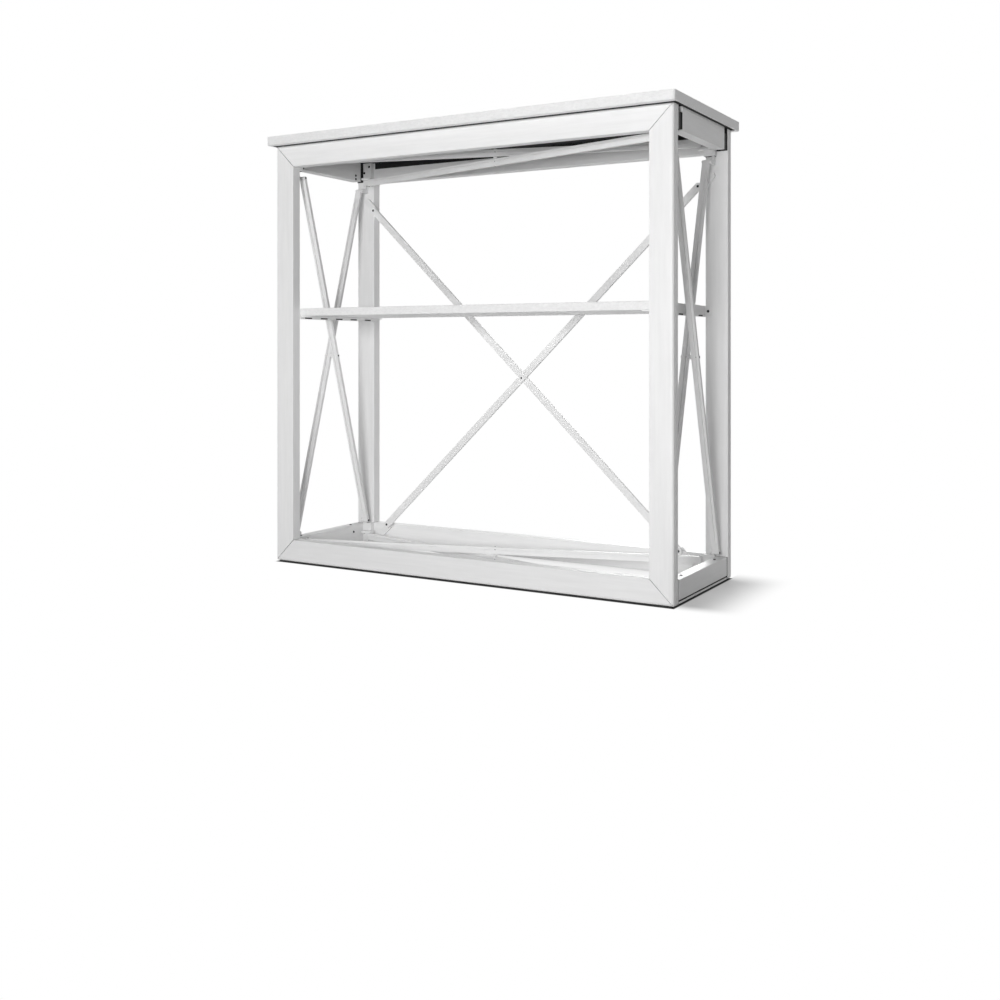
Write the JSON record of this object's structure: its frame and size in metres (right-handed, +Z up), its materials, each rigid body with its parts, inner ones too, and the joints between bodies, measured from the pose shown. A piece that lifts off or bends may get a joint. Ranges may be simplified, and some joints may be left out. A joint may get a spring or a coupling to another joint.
{
  "type": "pop-up counter",
  "caption": "White pop-up counter: two mitred extruded frames joined by side rails and crossed brace bars, with a lift-off tabletop and a slide-out shelf.",
  "frame": {"origin": "on the floor, under the centre of the tabletop", "axes": "+Z up, +X to the right seen from the open side, +Y from the open side towards the side with the back brace"},
  "size_m": [1.022, 0.388, 1.002],
  "materials": {
    "white_coated_aluminium": "white powder coat, satin",
    "white_plastic": "moulded, satin",
    "white_board": "white laminated board, satin",
    "plain_aluminium": "mill finish",
    "zinc_plated_steel": "zinc plated",
    "grey_rubber": "matt"
  },
  "bodies": {
    "frame": {"back_bottom_left_corner_key": "plain_aluminium", "back_bottom_left_hub": "white_plastic", "back_bottom_rail": "white_coated_aluminium", "back_bottom_right_corner_key": "plain_aluminium", "back_bottom_right_hub": "white_plastic", "back_brace_bottom_left_bracket": "white_plastic", "back_brace_bottom_right_bracket": "white_plastic", "back_brace_falling_bar": "white_coated_aluminium", "back_brace_pivot_pin": "zinc_plated_steel", "back_brace_rising_bar": "white_coated_aluminium", "back_brace_top_left_bracket": "white_plastic", "back_brace_top_right_bracket": "white_plastic", "back_left_foot": "grey_rubber", "back_left_post": "white_coated_aluminium", "back_right_foot": "grey_rubber", "back_right_post": "white_coated_aluminium", "back_top_left_corner_key": "plain_aluminium", "back_top_left_hub": "white_plastic", "back_top_rail": "white_coated_aluminium", "back_top_right_corner_key": "plain_aluminium", "back_top_right_hub": "white_plastic", "bottom_brace_fixed_bar": "white_coated_aluminium", "bottom_brace_pivot_pin": "zinc_plated_steel", "front_bottom_left_corner_key": "plain_aluminium", "front_bottom_left_hub": "white_plastic", "front_bottom_rail": "white_coated_aluminium", "front_bottom_right_corner_key": "plain_aluminium", "front_bottom_right_hub": "white_plastic", "front_left_foot": "grey_rubber", "front_left_post": "white_coated_aluminium", "front_right_foot": "grey_rubber", "front_right_post": "white_coated_aluminium", "front_top_left_corner_key": "plain_aluminium", "front_top_left_hub": "white_plastic", "front_top_rail": "white_coated_aluminium", "front_top_right_corner_key": "plain_aluminium", "front_top_right_hub": "white_plastic", "left_bottom_rail": "white_coated_aluminium", "left_brace_fixed_bar": "white_coated_aluminium", "left_brace_pivot_pin": "zinc_plated_steel", "left_shelf_support": "white_coated_aluminium", "left_top_rail": "white_coated_aluminium", "right_bottom_rail": "white_coated_aluminium", "right_brace_fixed_bar": "white_coated_aluminium", "right_brace_pivot_pin": "zinc_plated_steel", "right_shelf_support": "white_coated_aluminium", "right_top_rail": "white_coated_aluminium", "top_brace_fixed_bar": "white_coated_aluminium", "top_brace_pivot_pin": "zinc_plated_steel"},
    "left_swing_bar": {"left_brace_swing_bar": "white_coated_aluminium"},
    "right_swing_bar": {"right_brace_swing_bar": "white_coated_aluminium"},
    "top_swing_bar": {"top_brace_swing_bar": "white_coated_aluminium"},
    "bottom_swing_bar": {"bottom_brace_swing_bar": "white_coated_aluminium"},
    "tabletop": {"tabletop": "white_board"},
    "shelf": {"shelf": "white_board"}
  },
  "joints": [
    {"name": "left_brace_hinge", "type": "hinge", "parent": "frame", "child": "left_swing_bar", "pos_m": [-0.4588, 0, 0.486], "axis": [-1, 0, 0], "range_deg": [0, 32.5]},
    {"name": "right_brace_hinge", "type": "hinge", "parent": "frame", "child": "right_swing_bar", "pos_m": [0.4588, 0, 0.486], "axis": [1, 0, 0], "range_deg": [0, 32.5]},
    {"name": "top_brace_hinge", "type": "hinge", "parent": "frame", "child": "top_swing_bar", "pos_m": [0, 0, 0.928], "axis": [0, 0, 1], "range_deg": [0, 30]},
    {"name": "bottom_brace_hinge", "type": "hinge", "parent": "frame", "child": "bottom_swing_bar", "pos_m": [0, 0, 0.043], "axis": [0, 0, -1], "range_deg": [0, 30]},
    {"name": "tabletop_lift", "type": "slide", "parent": "frame", "child": "tabletop", "axis": [0, 0, 1], "range_m": [0, 0.15]},
    {"name": "shelf_slide", "type": "slide", "parent": "frame", "child": "shelf", "axis": [0, -1, 0], "range_m": [0, 0.3]}
  ]
}
